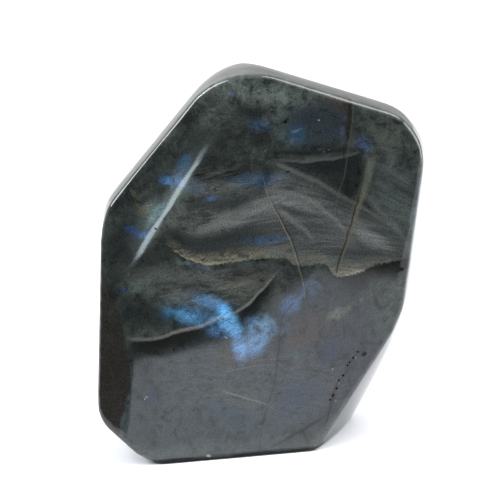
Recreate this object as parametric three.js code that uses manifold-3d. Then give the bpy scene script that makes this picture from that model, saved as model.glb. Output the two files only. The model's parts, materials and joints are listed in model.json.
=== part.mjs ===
// A labradorite freeform: one piece of stone, sawn flat at the foot so that it stands on its own,
// ground to broad facets and polished all over. Millimetres, +Z up, the show face towards -Y,
// the origin on the standing plane under the middle of the stone.
//
// Every surface is a facet: a flat cut with a direction and a reach from the stone's heart. Broad
// facets make the outline, narrow ones roll the corners over, and the last polish softens every
// edge that is left by a small radius.
import * as THREE from 'three';
import { ConvexGeometry } from 'three/addons/geometries/ConvexGeometry.js';
import { mergeVertices } from 'three/addons/utils/BufferGeometryUtils.js';
import Module from 'manifold-3d';

// ---- driving dimensions ----

const HEART_HEIGHT = 58; // height of the point that every reach is measured from
const ROUGH_BLOCK = 200; // side of the rough block that the stone is cut from
const POLISH_RADIUS = 0.9; // what the last polish takes off every edge
const GRAIN = 0.08; // skin points closer together than this are one
const STRIP_ANGLE = 11; // widest turn, in degrees, between two narrow facets of a rolled corner

const FACE_FOOT = -22.5; // where the show face meets the standing plane, along Y
const FACE_LEAN = 3; // the show face leans back by this many degrees
const BACK_FOOT = 23.5; // where the back meets the standing plane, along Y
const BACK_LEAN = 5; // the back leans forward, so the stone thins upwards
const GIRDLE_RADIUS = 7; // roll from a side into its back slope
const BACK_RADIUS = 12; // roll from a back slope into the back

// The sides in order round the outline. Each one bellies out: seen along its edge, it is a shallow
// curve from the rim of the show face to the edge where the back slope starts. around: direction in
// degrees, from +X towards +Z. rim: distance from the heart at the rim of the show face. flare:
// degrees by which the side opens towards the back, at the rim and at its back edge. edge: where
// along Y the side ends. slope: degrees by which the back slope turns in. corner: radius of the roll
// from this side into the next one.
const SIDES = [
  { name: 'crown', around: 86, rim: 58.4, flare: [8, 4], edge: 7.5, slope: 52, corner: 24 },
  { name: 'upper_left', around: 134, rim: 46.1, flare: [14, -8], edge: 9, slope: 48, corner: 14 },
  { name: 'hip', around: 158, rim: 47.4, flare: [20, 0], edge: 9, slope: 46, corner: 16 },
  { name: 'left', around: 171, rim: 47.4, flare: [10, -4], edge: 9, slope: 46, corner: 11 },
  { name: 'lower_left', around: 222, rim: 68.4, flare: [10, -2], edge: 9, slope: 50, corner: 5 },
  { name: 'foot', around: 270, rim: HEART_HEIGHT, flare: [0, 0], edge: 17, slope: 50, corner: 2.5 },
  { name: 'lower_right', around: 323.5, rim: 44.4, flare: [23, 10], edge: 9, slope: 50, corner: 12 },
  { name: 'flank', around: 333, rim: 44.7, flare: [20, -15], edge: 11, slope: 48, corner: 20 },
  { name: 'right', around: 347.5, rim: 44.8, flare: [17, -16], edge: 12, slope: 47, corner: 15 },
  { name: 'shoulder', around: 33, rim: 62.2, flare: [10, -15], edge: 11, slope: 52, corner: 10 },
  { name: 'top_slope', around: 67, rim: 56.9, flare: [6, -11], edge: 9, slope: 50, corner: 20 },
];
const BELLY_STEPS = 4; // flat steps from the rim to the back edge that cut the curve of a side

// Shallow facets of the show face and of the back. Each starts at a soft ridge between two points,
// given by X and Z, and falls away by tilt degrees on the left of the way between them, as seen from
// outside.
const FACE_FACETS = [
  { from: [-34.5, 65], to: [-10.5, 95], tilt: 7 },
  { from: [-43.5, 22], to: [-40.5, 53], tilt: 8 },
];
const BACK_FACETS = [
  { from: [12, 96], to: [-26, 50], tilt: 8 },
  { from: [-4, 14], to: [28, 58], tilt: 9 },
];

// The broad chamfer on the rim of the show face, along the upper left side.
const CHAMFER_SIDE = 'upper_left';
const CHAMFER_TILT = 45; // degrees between the chamfer and the side
const CHAMFER_SET_BACK = 2.2; // depth behind the show face of the chamfer's outer edge

const STONE_COLOUR = 0x2d3535;
const STONE_ROUGHNESS = 0.12;

// ---- facets ----

const HEART = new THREE.Vector3(0, 0, HEART_HEIGHT);
const radians = THREE.MathUtils.degToRad;

/** A facet whose plane has this outward normal and lies reach from the heart. */
const facet = (normal, reach) => ({ normal: normal.clone().normalize(), reach });

/** A facet with this outward normal through a point. */
const facetThrough = (normal, point) => {
  const unit = normal.clone().normalize();
  return facet(unit, unit.dot(point.clone().sub(HEART)));
};

/** A direction round the outline, turned towards the back (+Y) by some degrees. */
const direction = (around, towardsBack) => new THREE.Vector3(
  Math.cos(radians(around)) * Math.cos(radians(towardsBack)),
  Math.sin(radians(towardsBack)),
  Math.sin(radians(around)) * Math.cos(radians(towardsBack)),
);

/** The point of the outline in one direction at depth y, for a side's reach there. */
const outlinePoint = (around, reach, y) => direction(around, 0).multiplyScalar(reach)
  .add(HEART).setY(y);

/** Where along Y the show face lies at one height. */
const faceDepth = (height) => FACE_FOOT + Math.tan(radians(FACE_LEAN)) * height;

/** Where along Y the rim of the show face runs along a side, at the middle of that side. */
const rimDepth = (side) => faceDepth(HEART_HEIGHT + side.rim * Math.sin(radians(side.around)));

/** How steeply a side opens towards the back at depth y. */
function opening(side, y) {
  const [atRim, atEdge] = side.flare.map((flare) => Math.tan(radians(flare)));
  return THREE.MathUtils.mapLinear(y, rimDepth(side), side.edge, atRim, atEdge);
}

/** How far a side reaches from the heart at depth y, along the curve of its belly. */
function reachAt(side, y) {
  const depth = y - rimDepth(side);
  return side.rim + depth * (opening(side, rimDepth(side)) + opening(side, y)) / 2;
}

/** The facet that touches the curve of a side at one of its steps, 0 at the rim. */
function sideFacet(side, step) {
  const y = THREE.MathUtils.lerp(rimDepth(side), side.edge, step / BELLY_STEPS);
  const flare = THREE.MathUtils.radToDeg(Math.atan(opening(side, y)));
  return facetThrough(
    direction(side.around, -flare), outlinePoint(side.around, reachAt(side, y), y),
  );
}

const backSlopeFacet = (side) => facetThrough(
  direction(side.around, side.slope),
  outlinePoint(side.around, reachAt(side, side.edge), side.edge),
);

/** Narrow facets that roll facet a over into facet b, tangent to a cylinder of this radius. */
function rolledEdge(a, b, radius) {
  const cosine = a.normal.dot(b.normal);
  const share = (p, q) => ((p.reach - radius) - cosine * (q.reach - radius)) / (1 - cosine ** 2);
  const axis = a.normal.clone().multiplyScalar(share(a, b))
    .addScaledVector(b.normal, share(b, a));
  const turn = a.normal.angleTo(b.normal);
  const steps = Math.ceil(turn / radians(STRIP_ANGLE));
  return Array.from({ length: steps - 1 }, (_, k) => {
    const part = (k + 1) / steps;
    const normal = a.normal.clone().multiplyScalar(Math.sin((1 - part) * turn))
      .addScaledVector(b.normal, Math.sin(part * turn)).normalize();
    return facet(normal, normal.dot(axis) + radius);
  });
}

/** A broad face that meets the standing plane at foot along Y and leans in by lean degrees. */
function broadFace(foot, lean) {
  const outwards = Math.sign(foot);
  return facetThrough(
    new THREE.Vector3(0, outwards * Math.cos(radians(lean)), Math.sin(radians(lean))),
    new THREE.Vector3(0, foot, 0),
  );
}

/** The shallow facets that fall away from the ridges of a broad face. */
function shallowFacets(face, foot, ridges) {
  const onFace = ([x, z]) => new THREE.Vector3(x, foot - z * face.normal.z / face.normal.y, z);
  return ridges.map(({ from, to, tilt }) => {
    const ridge = onFace(to).sub(onFace(from)).normalize();
    return facetThrough(face.normal.clone().applyAxisAngle(ridge, radians(-tilt)), onFace(from));
  });
}

/** The chamfer that breaks the rim between the show face and one side. */
function chamferFacet() {
  const side = SIDES.find(({ name }) => name === CHAMFER_SIDE);
  const y = rimDepth(side) + CHAMFER_SET_BACK;
  return facetThrough(
    direction(side.around, -CHAMFER_TILT), outlinePoint(side.around, reachAt(side, y), y),
  );
}

/** Every facet of the stone: the sides, the back, the show face, and the rolls between them. */
function stoneFacets() {
  const steps = Array.from({ length: BELLY_STEPS + 1 }, (_, step) => step);
  const slopes = SIDES.map(backSlopeFacet);
  const face = broadFace(FACE_FOOT, FACE_LEAN);
  const back = broadFace(BACK_FOOT, BACK_LEAN);
  const sides = SIDES.flatMap((side, i) => {
    const next = (i + 1) % SIDES.length;
    return [
      ...steps.map((step) => sideFacet(side, step)),
      ...steps.flatMap((step) => (
        rolledEdge(sideFacet(side, step), sideFacet(SIDES[next], step), side.corner)
      )),
      ...rolledEdge(slopes[i], slopes[next], side.corner),
      ...rolledEdge(sideFacet(side, BELLY_STEPS), slopes[i], GIRDLE_RADIUS),
      ...rolledEdge(slopes[i], back, BACK_RADIUS),
    ];
  });
  return [
    ...sides, ...slopes, face, back, chamferFacet(),
    ...shallowFacets(face, FACE_FOOT, FACE_FACETS),
    ...shallowFacets(back, BACK_FOOT, BACK_FACETS),
  ];
}

// ---- cutting and polishing ----

/** A BufferGeometry as a manifold solid. */
function toSolid(wasm, geometry) {
  const bare = geometry.clone();
  bare.deleteAttribute('normal');
  bare.deleteAttribute('uv');
  const merged = mergeVertices(bare);
  return new wasm.Manifold(new wasm.Mesh({
    numProp: 3,
    vertProperties: Float32Array.from(merged.attributes.position.array),
    triVerts: Uint32Array.from(merged.index.array),
  }));
}

/** A block as large as the rough stone, with one face on a facet's plane and the rest outside it. */
function wasteBeyond(wasm, { normal, reach }) {
  const block = new THREE.BoxGeometry(ROUGH_BLOCK, ROUGH_BLOCK, ROUGH_BLOCK);
  block.applyQuaternion(new THREE.Quaternion().setFromUnitVectors(
    new THREE.Vector3(0, 0, 1), normal,
  ));
  const middle = normal.clone().multiplyScalar(reach + ROUGH_BLOCK / 2).add(HEART);
  return toSolid(wasm, block.translate(middle.x, middle.y, middle.z));
}

/** The corner points of the rough block once every facet is cut, each facet set in by inset. */
function cutCorners(wasm, facets, inset) {
  const side = 0.9 * ROUGH_BLOCK;
  const rough = new THREE.BoxGeometry(side, side, side).translate(HEART.x, HEART.y, HEART.z);
  const stone = facets.reduce(
    (solid, { normal, reach }) => solid.subtract(
      wasteBeyond(wasm, { normal, reach: reach - inset }),
    ),
    toSolid(wasm, rough),
  );
  const { vertProperties, numProp } = stone.getMesh();
  return Array.from({ length: vertProperties.length / numProp }, (_, i) => (
    new THREE.Vector3().fromArray(vertProperties, i * numProp)
  ));
}

/** The points, without those that lie closer than the grain to an earlier one. */
function withoutNearTwins(points) {
  const kept = [];
  points.forEach((point) => {
    if (kept.every((other) => other.distanceTo(point) > GRAIN)) kept.push(point);
  });
  return kept;
}

/**
 * The polished stone: round every corner of the stone set in by the polish radius, the skin is that
 * radius out along the facets that meet there, and half-way between each two of them.
 */
function polishedStone(wasm, facets) {
  const skin = cutCorners(wasm, facets, POLISH_RADIUS).flatMap((corner) => {
    const toHeart = corner.clone().sub(HEART);
    const meeting = facets.filter(({ normal, reach }) => (
      Math.abs(normal.dot(toHeart) - reach + POLISH_RADIUS) < 1e-3
    )).map(({ normal }) => normal);
    const between = meeting.flatMap((a, i) => meeting.slice(i + 1).map((b) => (
      a.clone().add(b).normalize()
    )));
    return [...meeting, ...between].map((normal) => (
      corner.clone().addScaledVector(normal, POLISH_RADIUS)
    ));
  });
  return new ConvexGeometry(withoutNearTwins(skin));
}

/** Moves a geometry so that its box stands on z = 0, centred on the origin. */
function standOnOrigin(geometry) {
  geometry.computeBoundingBox();
  const middle = geometry.boundingBox.getCenter(new THREE.Vector3());
  return geometry.translate(-middle.x, -middle.y, -geometry.boundingBox.min.z);
}

const wasm = await Module();
wasm.setup();

const stone = new THREE.Mesh(
  standOnOrigin(polishedStone(wasm, stoneFacets())),
  new THREE.MeshStandardMaterial({
    color: STONE_COLOUR,
    roughness: STONE_ROUGHNESS,
    metalness: 0,
  }),
);
stone.name = 'labradorite_stone';

const group = new THREE.Group();
group.add(stone);

export default group;
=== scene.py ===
"""A polished labradorite freeform on a pale studio floor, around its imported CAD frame."""

import json
import logging
import math
from collections.abc import Callable, Sequence
from dataclasses import dataclass, field
from enum import Enum
from functools import reduce
from typing import Any

import bpy
from mathutils import Matrix, Vector

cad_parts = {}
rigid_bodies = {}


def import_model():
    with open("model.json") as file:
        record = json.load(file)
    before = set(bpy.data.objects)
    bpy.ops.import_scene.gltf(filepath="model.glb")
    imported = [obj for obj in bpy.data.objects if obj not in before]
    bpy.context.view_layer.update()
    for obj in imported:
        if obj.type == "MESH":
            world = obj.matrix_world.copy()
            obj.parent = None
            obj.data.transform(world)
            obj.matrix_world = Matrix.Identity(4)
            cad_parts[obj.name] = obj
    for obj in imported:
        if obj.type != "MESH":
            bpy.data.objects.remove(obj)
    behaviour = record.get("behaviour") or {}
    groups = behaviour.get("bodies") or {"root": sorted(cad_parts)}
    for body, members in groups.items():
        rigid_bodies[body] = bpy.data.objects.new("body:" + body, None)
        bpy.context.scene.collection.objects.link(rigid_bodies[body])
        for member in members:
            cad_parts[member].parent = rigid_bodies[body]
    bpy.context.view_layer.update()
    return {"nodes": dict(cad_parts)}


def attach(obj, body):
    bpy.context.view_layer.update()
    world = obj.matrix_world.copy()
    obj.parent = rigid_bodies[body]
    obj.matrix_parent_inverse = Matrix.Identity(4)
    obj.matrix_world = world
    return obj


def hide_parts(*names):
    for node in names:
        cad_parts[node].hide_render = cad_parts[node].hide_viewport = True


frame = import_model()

log = logging.getLogger("freeform")

MM = 0.001
NODE = "labradorite_stone"
FACE_FOOT = -22.5  # where the show face meets the foot along Y, in millimetres
FACE_LEAN = 3.0  # how far the show face leans back, in degrees

Socket = bpy.types.NodeSocket
Value = Socket | float | Sequence[float]
Point = tuple[float, float]
Course = tuple[Point, ...]
Place = tuple[float, float, float]
Colour = tuple[float, float, float]
Fade = tuple[float, float, float, float]


class Texture(Enum):
    """How a mark's colour is broken up."""

    PLAIN = "plain"
    CLOUDY = "cloudy"
    STREAKY = "streaky"
    LAMELLAR = "lamellar"
    SWIRLED = "swirled"


PLAIN, CLOUDY, STREAKY, LAMELLAR, SWIRLED = Texture


class Effect(Enum):
    """How a mark's colour meets the colour under it, by its blend type."""

    GLOW = "ADD"
    STAIN = "MIX"
    SHADE = "MULTIPLY"


class Lie(Enum):
    """Which way a vein or an edge runs over the face."""

    LEVEL = "level"
    UPRIGHT = "upright"


LEVEL, UPRIGHT = Lie


@dataclass(frozen=True)
class Grain:
    """A noise that breaks up a colour.

    scale is its features per millimetre, detail how many finer layers it has, rough how strong
    they are and swirl how much it curls. The noise values of span give the strengths of strength.
    squash, if there is one, draws the grain out by multiplying the place where the noise is read.
    """

    scale: float
    detail: float
    rough: float
    swirl: float
    span: Point
    strength: Point
    smooth: bool = False
    squash: Place | None = None


@dataclass(frozen=True)
class Patch:
    """A soft-edged patch of colour in the stone, an ellipsoid in millimetres.

    place is its centre (x, z), size its half length and half width, turn the angle of its length
    from +X in degrees. depth is how far behind the show face it lies, reach how deep it goes. A
    crisp patch keeps its shape; the others are bent along with the grain of the stone.
    """

    name: str
    place: Point
    size: Point
    turn: float
    colour: Colour
    strength: float = 1.0
    texture: Texture = CLOUDY
    core: float = 0.25
    depth: float = 0.0
    reach: float = 9.0
    effect: Effect = Effect.STAIN
    crisp: bool = False


def glow(
    name: str, place: Point, size: Point, turn: float, colour: Colour, texture: Texture = CLOUDY, core: float = 0.25,
    depth: float = 0.0, reach: float = 9.0,
) -> Patch:
    """Makes a flash, a patch that adds its light to what lies under it."""
    return Patch(name, place, size, turn, colour, 1.0, texture, core, depth, reach, Effect.GLOW)


def speck(
    name: str, place: Point, size: Point, turn: float, colour: Colour, strength: float = 0.9,
    texture: Texture = PLAIN, core: float = 0.5, crisp: bool = False,
) -> Patch:
    """Makes a tiny patch close under the show face."""
    return Patch(name, place, size, turn, colour, strength, texture, core, reach=1.5, crisp=crisp)


@dataclass(frozen=True)
class Vein:
    """A thin sheet through the stone that shows as a line, in millimetres.

    course is its way over the show face as (x, z) points, strengths how strong it is at each of
    them, width its half width, lean how far it shifts for every millimetre of depth, soft the part
    of its width that fades. deep is the depth at which it ends; at nothing it runs right through.
    """

    name: str
    course: Course
    strengths: Sequence[float]
    width: float
    colour: Colour
    lie: Lie = LEVEL
    lean: float = 0.25
    soft: float = 0.8
    deep: float = 0.0


def seam(
    name: str, course: Course, strengths: Sequence[float], width: float, colour: Colour, lie: Lie = LEVEL
) -> Vein:
    """Makes a soft vein that ends behind the show face."""
    return Vein(name, course, strengths, width, colour, lie, soft=1.0, deep=16.0)


@dataclass(frozen=True)
class Border:
    """A crisp edge with colour fading away on one side of it, in millimetres.

    course and strengths are as in a vein. reach is how far the colour goes, above the course or to
    its right; below it or to its left when negative. ragged is how much the edge is torn, edge how
    soft it is and deep how far into the stone the colour goes.
    """

    name: str
    course: Course
    strengths: Sequence[float]
    reach: float
    colour: Colour
    lie: Lie = LEVEL
    effect: Effect = Effect.STAIN
    texture: Texture = CLOUDY
    ragged: float = 0.0
    lean: float = 0.25
    edge: float = 0.4
    deep: float = 30.0


@dataclass(frozen=True)
class Pit:
    """A small open pit in the show face; size is its half length and half width, in millimetres."""

    place: Point
    size: Point
    turn: float = 0.0


class Sketch:
    """Wires shader nodes; each method returns the socket that carries its result."""

    def __init__(self, tree: bpy.types.NodeTree) -> None:
        """Starts on an emptied node tree."""
        self.tree = tree
        tree.nodes.clear()

    def node(self, kind: str, inputs: dict[Any, Value] | None = None, **settings: Any) -> bpy.types.Node:
        """Adds a node.

        Args:
            kind: Its type, without the "ShaderNode" in front.
            inputs: Sockets, numbers or tuples by input name or number.
            settings: Properties of the node.

        Returns:
            The node.
        """
        node = self.tree.nodes.new("ShaderNode" + kind)
        for name, setting in settings.items():
            setattr(node, name, setting)
        for name, value in (inputs or {}).items():
            self.feed(node.inputs[name], value)
        return node

    def feed(self, socket: Socket, value: Value) -> None:
        """Links or sets one input.

        Args:
            socket: The input.
            value: A socket to link or a constant to set.
        """
        if isinstance(value, bpy.types.NodeSocket):
            self.tree.links.new(value, socket)
        elif socket.type == "RGBA":
            socket.default_value = (*value, 1.0)
        else:
            socket.default_value = value

    def close(self, shader: bpy.types.Node, kind: str = "OutputMaterial") -> None:
        """Ends the tree in an output that shows a shader."""
        self.tree.links.new(shader.outputs[0], self.node(kind).inputs[0])

    def math(self, operation: str, *values: Value, clamp: bool = False) -> Socket:
        """Does arithmetic on numbers."""
        return self.node("Math", dict(enumerate(values)), operation=operation, use_clamp=clamp).outputs[0]

    def product(self, *factors: Value) -> Socket:
        """Multiplies two numbers or more."""
        return reduce(lambda first, other: self.math("MULTIPLY", first, other), factors)

    def vector(self, operation: str, *values: Value, scale: Value | None = None) -> Socket:
        """Does arithmetic on vectors.

        Args:
            operation: The vector operation.
            values: Its vectors.
            scale: The factor of SCALE.

        Returns:
            The resulting vector, or number for LENGTH and DOT_PRODUCT.
        """
        inputs = dict(enumerate(values))
        if scale is not None:
            inputs["Scale"] = scale
        node = self.node("VectorMath", inputs, operation=operation)
        return node.outputs["Value" if operation in ("LENGTH", "DOT_PRODUCT") else "Vector"]

    def join(self, x: Value, y: Value, z: Value) -> Socket:
        """Makes a vector of three numbers."""
        return self.node("CombineXYZ", {0: x, 1: y, 2: z}).outputs[0]

    def ramp(
        self, value: Value, start: float, end: float, low: float = 0.0, high: float = 1.0, smooth: bool = True
    ) -> Socket:
        """Takes a number from one range to another and stops at the ends.

        Args:
            value: The number.
            start: Where the range starts.
            end: Where the range ends; it may lie below the start.
            low: The result at the start.
            high: The result at the end.
            smooth: Whether the way between eases in and out.

        Returns:
            The result.
        """
        kind = "SMOOTHSTEP" if smooth else "LINEAR"
        if smooth and end < start:
            start, end, low, high = end, start, high, low
        inputs = {"Value": value, "From Min": start, "From Max": end, "To Min": low, "To Max": high}
        return self.node("MapRange", inputs, interpolation_type=kind).outputs["Result"]

    def noise(
        self, place: Socket, scale: float, detail: float, rough: float = 0.6, swirl: float = 0.0
    ) -> bpy.types.Node:
        """Adds a noise texture with this many features to a millimetre."""
        inputs = {"Vector": place, "Scale": scale, "Detail": detail, "Roughness": rough, "Distortion": swirl}
        return self.node("TexNoise", inputs)

    def broken(self, place: Socket, grain: Grain) -> Socket:
        """Reads a grain.

        Args:
            place: Where it is read.
            grain: The grain.

        Returns:
            Its strength there.
        """
        if grain.squash:
            place = self.vector("MULTIPLY", place, grain.squash)
        noise = self.noise(place, grain.scale, grain.detail, grain.rough, grain.swirl)
        return self.ramp(noise.outputs["Fac"], *grain.span, *grain.strength, smooth=grain.smooth)

    def curve(self, value: Socket, points: Sequence[Point]) -> Socket:
        """Runs a number through a smooth curve and holds its ends.

        Args:
            value: The number.
            points: The curve's (in, out) points.

        Returns:
            The curve's value.
        """
        points = sorted(points)
        start, end = points[0][0], points[-1][0]
        low = min(out for _, out in points)
        high = max(max(out for _, out in points), low + 1e-3)
        share = self.ramp(value, start, end, smooth=False)
        node = self.node("FloatCurve", {"Value": share})
        line = node.mapping.curves[0]
        places = [((x - start) / (end - start), (out - low) / (high - low)) for x, out in points]
        line.points[0].location, line.points[-1].location = places[0], places[-1]
        for x, out in places[1:-1]:
            line.points.new(x, out)
        for point in line.points:
            point.handle_type = "AUTO_CLAMPED"
        node.mapping.update()
        return self.math("MULTIPLY_ADD", node.outputs[0], high - low, low)

    def blend(
        self, amount: Value, under: Value, over: Value, effect: Effect = Effect.STAIN, label: str = ""
    ) -> Socket:
        """Lays one colour over another."""
        inputs = {0: amount, 1: under, 2: over}
        return self.node("MixRGB", inputs, blend_type=effect.value, label=label).outputs[0]


CLOUDS = Grain(0.26, 7.0, 0.72, 0.4, (0.38, 0.65), (0.10, 1.45))
CLOUD_BANKS = Grain(0.06, 4.0, 0.6, 0.0, (0.35, 0.65), (0.2, 1.0), smooth=True)
STREAKS = Grain(0.75, 6.0, 0.74, 2.2, (0.32, 0.68), (0.22, 1.10))
STREAK_BANKS = Grain(0.24, 3.0, 0.6, 1.4, (0.36, 0.62), (0.50, 1.35), smooth=True)
SWIRLS = Grain(1.0, 5.0, 0.68, 2.6, (0.40, 0.62), (0.05, 1.25), squash=(0.13, 0.1, 0.42))
LAMELLAE = Grain(0.8, 6.0, 0.75, 0.6, (0.34, 0.64), (0.25, 1.40))
DUST = Grain(2.2, 3.0, 0.7, 0.0, (0.35, 0.65), (0.0, 1.0))

# The streaks are long along X and droop towards the sides of the face, less so low down.
STREAK_SQUASH = (0.075, 0.1, 0.62)
DROOP = ((-45, -7), (-20, -3), (0, -0.7), (12, 0), (22, -1.6), (32, -6), (42, -12), (55, -20))
DROOP_RISE: Fade = (55, 74, 0.35, 1.0)

# The lamellae of a flash: how they slant, in degrees, and how far they are drawn out.
LAMELLA_SLANT = -24.0
LAMELLA_STRETCH = (4.0, 3.0, 0.9)

# How bright the silk of the lens is along X.
LENS_LIGHT = ((-28, 0.10), (-12, 0.20), (0, 0.58), (10, 1.0), (30, 0.95), (40, 0.75), (52, 0.45))

GROUND = (
    Patch("moss by the crown", (8, 110.5), (22, 5.2), -13, (0.145, 0.172, 0.16), 0.8),
    Patch("moss left of the crown", (-6, 104.5), (9, 6), 50, (0.084, 0.102, 0.09), 0.8, SWIRLED),
    Patch("moss below the crown", (14, 103), (8, 4), -10, (0.085, 0.105, 0.1), 0.6),
    Patch("dark upper left", (-10, 96), (12, 8), 40, (0.022, 0.026, 0.025), 0.7),
    Patch("haze by the ridge", (-21.5, 79.5), (17, 2.8), 51, (0.12, 0.14, 0.13), 0.6),
    Patch("pale left of the ridge", (-30, 78.8), (6.5, 2.8), 52, (0.165, 0.195, 0.18), 0.8, STREAKY),
    Patch("moss on the ridge", (-20, 84), (9, 4.5), 55, (0.085, 0.1, 0.085), 0.8),
    Patch("umber by the crown", (29, 105.4), (7, 2.4), -18, (0.05, 0.04, 0.034), 0.8),
    Patch("navy field", (23, 99), (11, 8), -8, (0.025, 0.034, 0.05), 0.85, core=0.5),
    Patch("strokes right of the ridge", (-9, 86), (14, 6), -10, (0.12, 0.128, 0.118), 0.75, SWIRLED, 0.5),
    Patch("dark strokes by the ridge", (-9, 90), (13, 5), -8, (0.01, 0.013, 0.012), 0.9, STREAKY, 0.5),
    Patch("dark below the crown", (2, 98), (11, 4), -6, (0.014, 0.017, 0.017), 0.5, SWIRLED, 0.5),
    Patch("dark under the navy", (22, 92.3), (13, 2.4), -3, (0.014, 0.016, 0.016), 0.85),
    Patch("moss on the shoulder", (43, 95), (9, 6), -42, (0.09, 0.1, 0.085), 0.7),
    Patch("slate by the right side", (45, 76), (15, 8), -72, (0.094, 0.112, 0.109), 0.8, STREAKY),
    Patch("moss by the right side", (43, 66), (8, 8), 0, (0.07, 0.085, 0.075), 0.5),
    Patch("slate above the lens", (-4, 78), (18, 5), 4, (0.085, 0.095, 0.1), 0.7, STREAKY),
    Patch("dark hollow on the left", (-38, 66), (15, 9), 80, (0.015, 0.017, 0.016), 0.85, core=0.4),
    Patch("dark under the ridge", (-25, 68), (9, 5), 45, (0.018, 0.022, 0.019), 0.85, core=0.4),
    Patch("green smudge left", (-35, 57.5), (9, 4.2), 16, (0.095, 0.118, 0.105), 0.8),
    Patch("strokes on the left", (-32, 61), (12, 3), -4, (0.07, 0.078, 0.066), 0.7, STREAKY),
    Patch("dark pool left", (-33, 47), (11, 4.5), -8, (0.014, 0.018, 0.018), 0.8, core=0.4),
    Patch("olive strokes", (-12, 53.5), (21, 6.5), -2, (0.112, 0.116, 0.102), 0.9, SWIRLED, 0.5),
    Patch("grey strokes", (-20, 58), (16, 3.4), -6, (0.098, 0.108, 0.108), 0.8, SWIRLED),
    Patch("dark blot one", (-20, 55.5), (8, 2), -8, (0.014, 0.018, 0.016), 0.9, STREAKY),
    Patch("dark blot two", (-3, 57.6), (9, 2), 4, (0.016, 0.018, 0.018), 0.9, STREAKY),
    Patch("dark blot three", (-12, 51.2), (10, 1.8), -10, (0.014, 0.017, 0.016), 0.9, STREAKY),
    Patch("pale blot one", (-24, 52.6), (6, 1.2), -4, (0.15, 0.155, 0.14), 0.8, STREAKY),
    Patch("pale blot two", (-6, 54.2), (7, 1.3), 6, (0.17, 0.165, 0.14), 0.8, STREAKY),
    Patch("brown right of the bend", (-2, 56), (10, 4), 10, (0.07, 0.066, 0.056), 0.6, SWIRLED),
    Patch("dark strip between veins", (32.6, 83.4), (8.5, 3.4), 70, (0.008, 0.008, 0.006), 0.95, core=0.5),
    Patch("slate foot field", (-18, 16), (34, 22), 0, (0.041, 0.053, 0.058), 0.75, core=0.7),
    Patch("plum foot field", (18, 30), (26, 24), 40, (0.042, 0.045, 0.055), 0.75, core=0.7),
    # Painted reflection: these two lighter hazes stand in for part of the floor's reflection over the lower face.
    Patch("haze in the foot field", (-14, 20), (34, 18), -6, (0.066, 0.082, 0.092), 0.45, core=0.6),
    Patch("haze right of the foot field", (22, 30), (20, 18), 50, (0.066, 0.071, 0.083), 0.45, core=0.6),
    Patch("strokes in the foot field", (-4, 24), (34, 16), -8, (0.088, 0.101, 0.106), 0.55, SWIRLED, 0.5),
    Patch("brown mottle one", (14, 38), (9, 5), 35, (0.085, 0.064, 0.056), 0.8),
    Patch("brown mottle two", (-8, 31), (9, 3), -8, (0.08, 0.064, 0.056), 0.7),
    Patch("brown mottle three", (-36, 30), (6, 3), 80, (0.05, 0.044, 0.04), 0.6),
    Patch("blue mottle one", (8, 18), (11, 6), 20, (0.034, 0.05, 0.092), 0.55),
    Patch("blue mottle two", (-12, 14), (12, 4.5), -20, (0.034, 0.056, 0.09), 0.5, SWIRLED),
    Patch("blue mottle three", (20, 31), (5, 3.5), 60, (0.034, 0.046, 0.085), 0.7),
    Patch("blue mottle four", (-36, 22), (4, 2.4), 70, (0.034, 0.048, 0.08), 0.7),
    Patch("pale strokes by the foot", (-7, 19), (13, 4), -22, (0.085, 0.09, 0.086), 0.7, SWIRLED),
    Patch("olive smudge one", (23, 42), (3.4, 1.9), 20, (0.17, 0.175, 0.138), 0.75),
    Patch("olive smudge two", (28.3, 44.4), (4.4, 1.5), 30, (0.13, 0.13, 0.1), 0.8),
    Patch("green by the flank", (38, 40), (9, 5), 65, (0.07, 0.088, 0.078), 0.7),
    Patch("green by the toe", (24, 9), (10, 5), 35, (0.07, 0.09, 0.074), 0.7),
    Patch("green along the foot", (-30, 4), (20, 2.6), 0, (0.055, 0.072, 0.064), 0.7),
    Patch("dark under the line", (-29, 37.4), (14, 3.6), 3, (0.012, 0.013, 0.012), 0.9, core=0.4),
    Patch("brown under the line", (-31, 38.8), (8, 1.4), 4, (0.05, 0.042, 0.036), 0.7),
)

SHEEN = (
    Patch("sheen above the third vein", (4, 78), (9, 3.4), 22, (0.235, 0.24, 0.236), 0.7, STREAKY),
    Patch("sheen left in the lens", (-8, 72.5), (11, 2.4), 6, (0.225, 0.23, 0.226), 0.7, STREAKY),
    Patch("sheen in the middle", (16, 76), (11, 2), -24, (0.27, 0.275, 0.27), 0.7, STREAKY),
    Patch("sheen right of the veins", (36, 64), (9, 3), -38, (0.2, 0.215, 0.205), 0.7, STREAKY),
    Patch("dark in the lens left", (-14, 66.5), (9, 1.6), -4, (0.03, 0.036, 0.036), 0.8, STREAKY),
    Patch("dark in the lens right", (17, 73.8), (10, 1.6), -14, (0.032, 0.034, 0.042), 0.8, STREAKY),
    Patch("strokes in the lens left", (-13, 74), (12, 5), -4, (0.17, 0.177, 0.158), 0.5, SWIRLED, 0.5),
    Patch("dark low in the lens", (-4, 69), (13, 2.2), -6, (0.026, 0.03, 0.028), 0.8, STREAKY, 0.5),
    Patch("dark tip of the lens", (-22, 70), (5, 3.4), 40, (0.02, 0.024, 0.021), 0.8),
)

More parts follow.
